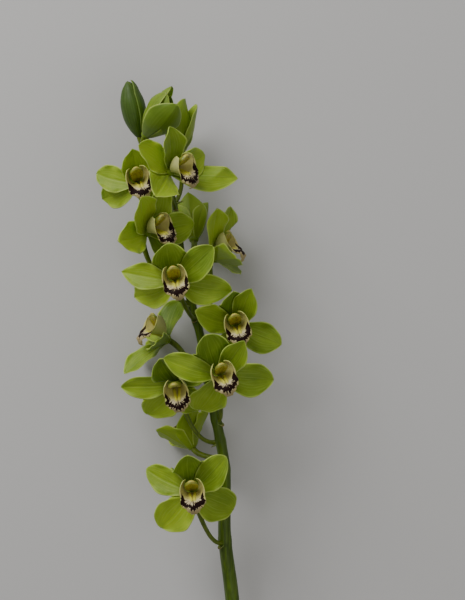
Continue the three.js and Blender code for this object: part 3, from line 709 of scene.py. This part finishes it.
def lip_surface(number):
    """The midline is summed from its headings. Across it the surface is an arc whose curvature goes
    from 1 over the trough's radius to -1 over LIP_DOME. Along the normal come the calli, which are
    two bells across, the crisped margin, which is a wave that each lip's number shifts, and a slight
    curl of the side lobes. Returns the middle surface, its uv and its fields."""
    s = np.linspace(0, 1, LIP_ROWS)[:, None]
    v = np.linspace(-1, 1, LIP_COLUMNS)[None]
    fine = np.linspace(0, 1, 401)
    step = LIP_LENGTH / 400
    heading = lip_heading(fine[:-1])
    line_y = -0.2 + np.concatenate([[0], np.cumsum(np.sin(heading) * step)])
    line_z = SEAT + np.concatenate([[0], np.cumsum(np.cos(heading) * step)])
    heading = lip_heading(s)
    tube_radius = LIP_TUBE * mix(0.55, 0.98, smooth(0, 0.42, s))
    curvature = mix(1 / tube_radius, -1 / LIP_DOME, smooth(0.44, 0.66, s))
    arc = lip_reach(s) * v
    rise = (1 - np.cos(curvature * arc)) / curvature
    x = np.sin(curvature * arc) / curvature
    y = np.interp(s, fine, line_y) + np.cos(heading) * rise
    z = np.interp(s, fine, line_z) - np.sin(heading) * rise
    points = stacked(x, y, z)
    apart = CALLUS_APART * mix(1.5, 0.75, smooth(0.1, 0.5, s))
    callus = sum(np.exp(-((arc - side * apart) / CALLUS_REACH)**2) for side in (-1, 1))
    callus = CALLUS_HEIGHT * callus * smooth(0.1, 0.22, s) * smooth(0.58, 0.5, s)
    edge = smooth(0.7, 1, np.abs(v)) * smooth(0.5, 0.6, s)
    crisp = CRISP_HEIGHT * edge * np.sin(2 * np.pi * CRISP_TURNS * s + 1.7 * number + 2.5 * v)
    curl = SIDE_CURL * smooth(0.86, 1, np.abs(v)) * smooth(0.15, 0.3, s) * smooth(0.52, 0.44, s)
    points = points - grid_normals(points) * (callus + crisp - curl)[..., None]
    rim = np.minimum(lip_reach(s) * (1 - np.abs(v)), LIP_LENGTH * (1 - s))
    uv = stacked(v * 0.5 + 0.5, s)
    return points, uv, dict(rim=rim, callus=np.minimum(callus, 1), **lip_marks(s, arc, number))


def rolled(points, degrees):
    """Points turned about the flower's own face."""
    a = np.radians(degrees)
    turn = np.array(((np.cos(a), -np.sin(a), 0), (np.sin(a), np.cos(a), 0), (0, 0, 1)))
    return points @ turn.T


def lip_velvet():
    """Living orchid lip: a velvety skin of raised cells, so light spreads on it and little shines.
    It is cream in front, yellower in the throat and outside, with a faint tan blush in clouds 6 mm
    wide, yellow calli, and a band of maroon pigment that frays into teeth 1.2 mm apart. Between the
    band and the crisped margin it is a dull buff."""
    material, tree, shader, place = new_material("living_orchid_lip_velvet", {
        "Roughness": 0.65, "IOR": 1.22, "Subsurface Weight": 0.1, "Subsurface Scale": 0.0015,
        "Subsurface Radius": (1.0, 0.8, 0.4)})
    fields = {key: add(tree, "Attribute", attribute_name=key).outputs["Fac"]
              for key in ("side", "band", "callus", "front", "run", "streak", "rim")}
    cloud = add(tree, "TexNoise", {"Vector": place["Object"], "Scale": 160.0, "Detail": 3.0})
    inner = add(tree, "Mix", {"Factor": fields["front"], "A": linear("#cdc777"),
                              "B": linear("#d6c99e")}, data_type="RGBA")
    blush = stained(tree, inner, "#ab8f6b", cloud, 0.45, 0.7, 0.4)
    rimmed = stained(tree, blush, "#cfd673", fields["rim"], 2.6, 0.6, 0.9)
    outer = stained(tree, rimmed, "#b5b675", fields["side"], 0.6, 0.0, 0.9)
    yellow = add(tree, "Mix", {"Factor": fields["callus"], "A": outer, "B": linear("#d3cf4c")},
                 data_type="RGBA")
    margin_share = add(tree, "MapRange", {"Value": fields["band"], "From Min": 0.5, "From Max": 1.0,
                                          "To Max": 0.85})
    front_margin = add(tree, "Math", {0: margin_share, 1: fields["front"]}, operation="MULTIPLY")
    margin = add(tree, "Mix", {"Factor": front_margin, "A": yellow, "B": linear("#98885c")},
                 data_type="RGBA")
    tooth_place = add(tree, "CombineXYZ", {"X": fields["run"], "Y": fields["band"]})
    teeth = add(tree, "TexNoise", {"Vector": tooth_place, "Scale": 0.85, "Detail": 2.0},
                noise_dimensions="2D")
    inward = add(tree, "Math", {0: teeth, 1: 3.4, 2: -0.9}, operation="MULTIPLY_ADD")
    from_inside = add(tree, "Math", {0: fields["band"], 1: inward}, operation="ADD")
    inside_edge = add(tree, "MapRange", {"Value": from_inside, "From Min": -0.2, "From Max": 0.05})
    outward = add(tree, "Math", {0: teeth, 1: 2.2, 2: -1.1}, operation="MULTIPLY_ADD")
    from_outside = add(tree, "Math", {0: fields["band"], 1: outward}, operation="ADD")
    outside_edge = add(tree, "MapRange", {"Value": from_outside, "From Min": 0.95, "From Max": 0.75})
    ring = add(tree, "Math", {0: inside_edge, 1: outside_edge}, operation="MULTIPLY")
    marked = add(tree, "Math", {0: ring, 1: fields["streak"]}, operation="MAXIMUM")
    on_front = add(tree, "MapRange", {"Value": fields["side"], "From Min": 0.5, "From Max": 0.75})
    seen = add(tree, "Math", {0: marked, 1: on_front}, operation="MULTIPLY")
    banded = add(tree, "Mix", {"Factor": seen, "A": margin, "B": linear("#1a0401")}, data_type="RGBA")
    grain = add(tree, "TexNoise", {"Vector": place["Object"], "Scale": 1800.0, "Detail": 1.0})
    relief = add(tree, "Bump", {"Height": grain, "Strength": 0.35, "Distance": 0.0003})
    feed(tree, shader, {"Base Color": banded, "Normal": relief})
    return material


velvet = lip_velvet()
for number, (name, flower) in enumerate(BLOOMS.items()):
    surface, uv, fields = lip_surface(number)
    middle = into_place(rolled(surface, flower["turn"]), flower)
    half = LIP_THICKNESS / 2 * round_margin(0.8, fields["rim"])
    lip = pillow(middle, half, uv, hand=-1, **fields)
    make_piece(f"{name}_lip_petal", lip, velvet, [f"{name}_lip"])


# --- Columns and anther caps -------------------------------------------------------------------
# Stamen and style of an orchid are one body, the column. It arches over the lip, is hollowed and
# olive with brown specks beneath, and carries at its tip the pale yellow cap over the pollen.
COLUMN_LENGTH = 24.0
COLUMN_RINGS = np.array([  # share of the length, radius and tilt in degrees
    (0, 1.7, 0), (0.12, 3.4, 14), (0.3, 5.2, 24), (0.6, 6.3, 27), (0.8, 6.3, 28), (0.92, 5.2, 20),
    (1, 2.6, 8)])
CAP_HALF_WIDTH = 3.6
CAP_HALF_HEIGHT = 1.6
CAP_HALF_LENGTH = 2.4
CAP_MIDDLE = (14.3, 23.4)  # up from the knot's middle, and in front of it


def column_rings():
    """Rings across an arched line, tilted as it bends: the cosine and sine of the ring's angle times
    the radius, half round above, and below a shallow gutter between two wings. The line rises by
    0.38 s + 0.09 s^2 of its length while it runs out by 0.96 s. Returns the rings, their uv and how
    far each point is underneath."""
    s = np.linspace(0, 1, 40)[:, None]
    radius = np.interp(s, COLUMN_RINGS[:, 0], COLUMN_RINGS[:, 1])
    tilt = np.radians(np.interp(s, COLUMN_RINGS[:, 0], COLUMN_RINGS[:, 2]))
    phi = np.linspace(0, 2 * np.pi, 36, endpoint=False)[None]
    sine = np.sin(phi)
    below = -0.45 * np.abs(sine) * (1 - 0.85 * np.abs(sine)**3)
    up = radius * np.where(sine < 0, below, 0.68 * sine)
    y = 1.7 + COLUMN_LENGTH * (0.38 * s + 0.09 * s**2)
    z = SEAT + COLUMN_LENGTH * 0.96 * s
    rings = stacked(np.cos(phi) * radius, y + up * np.cos(tilt), z - up * np.sin(tilt))
    uv = stacked(phi / (2 * np.pi), s)
    return rings, uv, smooth(0.15, -0.5, sine)


def column_flesh():
    """Living orchid column: smooth and waxy, yellow-green above, and olive beneath with brown specks
    1.4 mm apart. It shines a little more than the tepals."""
    material, tree, shader, place = new_material("living_orchid_column_waxy", {
        "Roughness": 0.38, "IOR": 1.42, "Subsurface Weight": 0.15, "Subsurface Scale": 0.002})
    under = add(tree, "Attribute", attribute_name="under")
    speckle = add(tree, "TexNoise", {"Vector": place["Object"], "Scale": 700.0, "Detail": 2.0})
    ground = add(tree, "Mix", {"Factor": under.outputs["Fac"], "A": linear("#7d8630"),
                               "B": linear("#a09c2a")}, data_type="RGBA")
    speckle_share = add(tree, "MapRange", {"Value": speckle, "From Min": 0.52, "From Max": 0.66})
    seen = add(tree, "Math", {0: speckle_share, 1: under.outputs["Fac"]}, operation="MULTIPLY")
    marked = add(tree, "Mix", {"Factor": seen, "A": ground, "B": linear("#6d5a1a")}, data_type="RGBA")
    relief = add(tree, "Bump", {"Height": speckle, "Strength": 0.2, "Distance": 0.0002})
    feed(tree, shader, {"Base Color": marked, "Normal": relief})
    return material


def cap_flesh():
    """The anther cap: a thin, dry, satin shell, butter yellow with a soft mottling 2 mm wide."""
    material, tree, shader, place = new_material("orchid_anther_cap_satin", {
        "Roughness": 0.4, "IOR": 1.45, "Subsurface Weight": 0.2, "Subsurface Scale": 0.002})
    grain = add(tree, "TexNoise", {"Vector": place["Object"], "Scale": 500.0, "Detail": 3.0})
    butter = add(tree, "Mix", {"Factor": grain, "A": linear("#a9a236"), "B": linear("#cbc468")},
                 data_type="RGBA")
    relief = add(tree, "Bump", {"Height": grain, "Strength": 0.15, "Distance": 0.0002})
    feed(tree, shader, {"Base Color": butter, "Normal": relief})
    return material


def cap_rings():
    """An ellipsoid of rings that leans forward by 0.5 mm, with sides that droop by 0.08 x^2 and a
    groove down its middle, a bell of the angle's cosine, which leaves two cheeks over the pollen."""
    angle = np.linspace(0.05, np.pi - 0.05, 20)[:, None]
    phi = np.linspace(0, 2 * np.pi, 32, endpoint=False)[None]
    groove = 1 - 0.1 * np.exp(-(np.cos(phi) / 0.22)**2) * np.sin(angle)
    x = CAP_HALF_WIDTH * np.sin(angle) * np.cos(phi)
    y = CAP_MIDDLE[0] + CAP_HALF_HEIGHT * np.sin(angle) * np.sin(phi) * groove - 0.08 * x**2
    z = CAP_MIDDLE[1] - CAP_HALF_LENGTH * np.cos(angle) * groove + 0.5 * np.sin(angle) * np.sin(phi)
    rings = stacked(x, y, z)
    uv = stacked(phi / (2 * np.pi), angle / np.pi)
    return rings, uv


column_green = column_flesh()
cap_yellow = cap_flesh()
column, column_uv, under = column_rings()
cap, cap_uv = cap_rings()
for name, flower in BLOOMS.items():
    flesh = tube(into_place(rolled(column, flower["turn"]), flower), column_uv, under=under)
    make_piece(f"{name}_column_flesh", flesh, column_green, [f"{name}_column"])
    cap_shell = tube(into_place(rolled(cap, flower["turn"]), flower), cap_uv)
    make_piece(f"{name}_anther_cap", cap_shell, cap_yellow, [f"{name}_column"])


# --- The closed bud ----------------------------------------------------------------------------
# The last bud: three thick sepals closed over the petals like the staves of a barrel, each with one
# margin under its neighbour's. Their tips have just begun to part.
BUD_LENGTH = 53.0
BUD_RADIUS = 11.2
BUD_PROFILE = np.array([  # share of the length and of the radius
    (0, 0.26), (0.14, 0.62), (0.36, 0.96), (0.6, 0.98), (0.82, 0.66), (0.95, 0.28), (1, 0.06)])
BUD_SEPAL_THICKNESS = 0.9
BUD_LEANS = (2.4, 0.2, 0.8)  # how far each sepal's tip stands off


def bud_share(u):
    """The bud's width at u of its length, from a curve through the profile."""
    line = curve_through(BUD_PROFILE, np.linspace(0, 1, 400))
    return np.interp(u, line[:, 0], line[:, 1])


def bud_sepal(number):
    """A stave of the bud: the profile turned about the bud's axis over 136 degrees, with one margin
    tucked 0.9 mm under and the other raised by 0.35 mm, and a crease down its middle. Towards the
    tip it leans out from the axis. Returns the middle surface, its uv and the way to its margin."""
    u = np.linspace(0, 1, 60)[:, None]
    v = np.linspace(-1, 1, 35)[None]
    share = bud_share(u)
    middle_angle = np.radians(60 + 120 * number)
    phi = np.radians(60 + 120 * number + 68 * v)
    tuck = -0.9 * smooth(0.45, 1, v) + 0.35 * smooth(-0.4, -0.9, v)
    radius = BUD_RADIUS * share * mix(1, 0.94, v**2) + tuck * smooth(0, 0.2, u) * smooth(1, 0.75, u)
    radius = radius - 0.4 * np.exp(-(v / 0.07)**2) * smooth(0.05, 0.3, u) * share
    lean = BUD_LEANS[number] * smooth(0.72, 1, u)
    x = radius * np.cos(phi) + lean * np.cos(middle_angle)
    y = radius * np.sin(phi) + lean * np.sin(middle_angle)
    z = -CORE_DEPTH + u * BUD_LENGTH - 0.6 * number * smooth(0.8, 1, u)
    middle = stacked(x, y, z)
    rim = BUD_RADIUS * share * 1.2 * (1 - np.abs(v))
    uv = stacked(v * 0.5 + 0.5, 0.35 + 0.65 * u)
    return middle, uv, rim


def bud_petals():
    """What shows between the sepals: a round core of 0.9 of the bud's width, as rings and uv."""
    u = np.linspace(0.01, 0.97, 30)[:, None]
    phi = np.linspace(0, 2 * np.pi, 24, endpoint=False)[None]
    radius = BUD_RADIUS * 0.9 * bud_share(u)
    rings = stacked(radius * np.cos(phi), radius * np.sin(phi), -CORE_DEPTH + u * BUD_LENGTH)
    return rings, stacked(phi * 0 + 0.5, u)


bud_flesh = petal_flesh("living_orchid_bud_waxy", deep="#2d4608", light="#476412", margin="#748a38",
                        back="#30460e", heart_and_shade="#3a5210", back_share=0.5)
staves = []
for number in range(3):
    middle, uv, rim = bud_sepal(number)
    half = BUD_SEPAL_THICKNESS / 2 * round_margin(0.8, rim)
    staves.append(pillow(into_place(middle, CLOSED_BUD), half, uv, rim=rim, tone=0.4))
make_piece("closed_bud_sepals", join(staves), bud_flesh, ["closed_bud"])
rings, uv = bud_petals()
core = tube(into_place(rings, CLOSED_BUD), uv, side=1.0, rim=4.0, tone=0.6)
make_piece("closed_bud_petals", core, bud_flesh, ["closed_bud"])


# --- Floor, light and camera -------------------------------------------------------------------
# A large sheet of matt grey paper under the stem, a broad soft light from the upper left, a weaker
# one beside the camera, and the camera straight above, two metres up.
def studio_paper():
    """Uncoated studio paper: even pale grey, with a tooth 1 mm wide that shifts its grey a little."""
    material, tree, shader, place = new_material("uncoated_studio_paper", {
        "Roughness": 0.9, "Specular IOR Level": 0.2})
    tooth = add(tree, "TexNoise", {"Vector": place["Object"], "Scale": 1000.0, "Detail": 2.0})
    grey = add(tree, "Mix", {"Factor": tooth, "A": linear("#bdbcbb"), "B": linear("#c3c2c1")},
               data_type="RGBA")
    feed(tree, shader, {"Base Color": grey})
    return material


FLOOR_SIZE = 6.0  # metres, as all lengths in this section are
corner = FLOOR_SIZE / 2
floor_mesh = bpy.data.meshes.new("floor")
floor_mesh.from_pydata([(-corner, -corner, 0), (corner, -corner, 0), (corner, corner, 0),
                        (-corner, corner, 0)], [], [(0, 1, 2, 3)])
floor_mesh.materials.append(studio_paper())
new_object("floor", floor_mesh)


def soft_light(name, place, aim, size, watts):
    """A square area light at place, turned so that it shines at aim."""
    light = bpy.data.lights.new(name, "AREA")
    light.size = size
    light.energy = watts
    lamp = new_object(name, light)
    lamp.location = place
    lamp.rotation_euler = (Vector(aim) - Vector(place)).to_track_quat("-Z", "Y").to_euler()


STEM_MIDDLE = (0.0, 0.1, 0.08)
soft_light("key_light", (-1.1, 1.7, 1.4), STEM_MIDDLE, 1.5, 50)
soft_light("fill_light", (0.7, -0.5, 2.2), STEM_MIDDLE, 2.0, 8)
world = bpy.data.worlds.new("studio")
world.use_nodes = True
world.node_tree.nodes["Background"].inputs["Color"].default_value = linear("#f2f0ec")
world.node_tree.nodes["Background"].inputs["Strength"].default_value = 0.36
bpy.context.scene.world = world

VIEW_MIDDLE = (0.0401, 0.119, 0.08)  # what the camera looks at
VIEW_HEIGHT = 0.552  # and the height that it takes in there
CAMERA_RISE = 2.0
camera_data = bpy.data.cameras.new("camera")
camera_data.sensor_fit = "VERTICAL"
camera_data.sensor_height = 36.0
camera_data.lens = camera_data.sensor_height * CAMERA_RISE / VIEW_HEIGHT
camera = new_object("camera", camera_data)
camera.location = (VIEW_MIDDLE[0], VIEW_MIDDLE[1], VIEW_MIDDLE[2] + CAMERA_RISE)
bpy.context.scene.camera = camera
